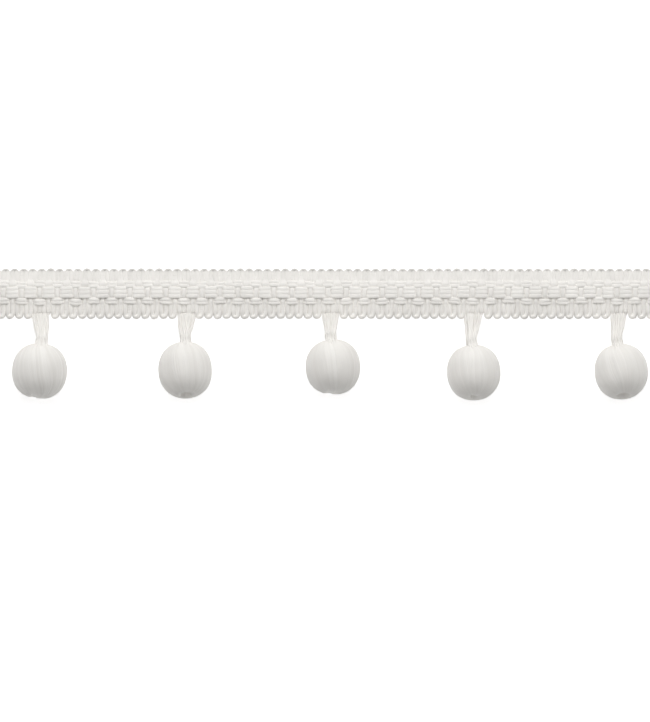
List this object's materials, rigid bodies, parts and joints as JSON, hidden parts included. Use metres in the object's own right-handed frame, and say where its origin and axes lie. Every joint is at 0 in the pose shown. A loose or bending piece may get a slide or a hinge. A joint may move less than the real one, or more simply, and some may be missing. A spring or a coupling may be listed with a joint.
{
  "type": "beaded fringe trim",
  "caption": "Cut length of white woven gimp braid with picot edges and yarn-wound beads hanging on short yarn hangers, for edging curtains, blinds, cushions and lampshades.",
  "frame": {"origin": "centre of the heading's flat back, on the surface that the trim lies on", "axes": "+X along the length, +Y from the beads towards the plain picot edge, +Z out of the heading's face"},
  "size_m": [0.2166, 0.0396, 0.0161],
  "materials": {
    "braid": "off-white woven gimp braid of smooth fibre, ribbed crossways, with low raised cords and looped edges, soft satin sheen",
    "hanger_yarn": "off-white loosely gathered smooth yarn, soft satin sheen",
    "bead_yarn": "off-white fine yarn wound from pole to pole over a round bead, soft satin sheen"
  },
  "bodies": {
    "root": {"heading": "braid", "hanger_1": "hanger_yarn", "hanger_2": "hanger_yarn", "hanger_3": "hanger_yarn", "hanger_4": "hanger_yarn", "hanger_5": "hanger_yarn", "bead_1": "bead_yarn", "bead_2": "bead_yarn", "bead_3": "bead_yarn", "bead_4": "bead_yarn", "bead_5": "bead_yarn"}
  },
  "joints": []
}
